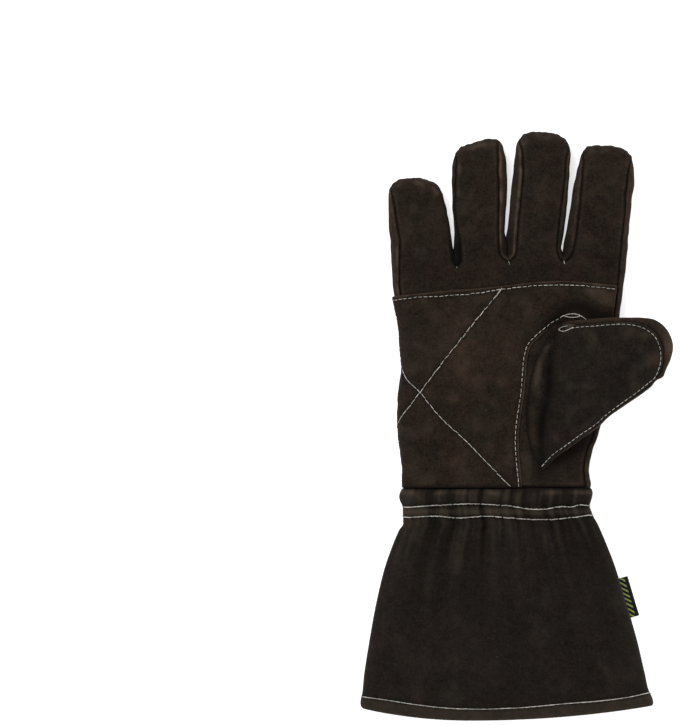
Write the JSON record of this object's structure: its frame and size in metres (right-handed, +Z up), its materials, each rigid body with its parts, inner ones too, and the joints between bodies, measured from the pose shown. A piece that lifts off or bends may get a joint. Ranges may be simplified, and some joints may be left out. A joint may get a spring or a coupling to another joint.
{
  "type": "leather barbecue glove",
  "caption": "Right-hand gauntlet glove of split leather with a double palm, gathered wrist and long flared cuff, lying palm up.",
  "frame": {"origin": "middle of the bounding box at the surface that the glove lies on", "axes": "+Y towards the fingertips, +X towards the thumb, +Z up out of the palm"},
  "size_m": [0.1906, 0.3594, 0.0389],
  "materials": {
    "hand_leather": "dark brown suede",
    "patch_leather": "dark brown suede, redder",
    "strip_leather": "brown suede",
    "cuff_leather": "near-black brown suede",
    "thread": "pale grey-green sewing thread",
    "ribbon": "woven navy ribbon with yellow-green stripes"
  },
  "bodies": {
    "root": {"palm_panel": "hand_leather", "thumb_base": "hand_leather", "palm_patch": "patch_leather", "back_panel": "hand_leather", "side_strip_little": "strip_leather", "fourchette_little_ring": "strip_leather", "fourchette_ring_middle": "strip_leather", "fourchette_middle_index": "strip_leather", "side_strip_index": "strip_leather", "thumb_front": "hand_leather", "thumb_back": "strip_leather", "cuff_palm": "cuff_leather", "cuff_back": "cuff_leather", "side_tab": "ribbon"}
  },
  "joints": []
}
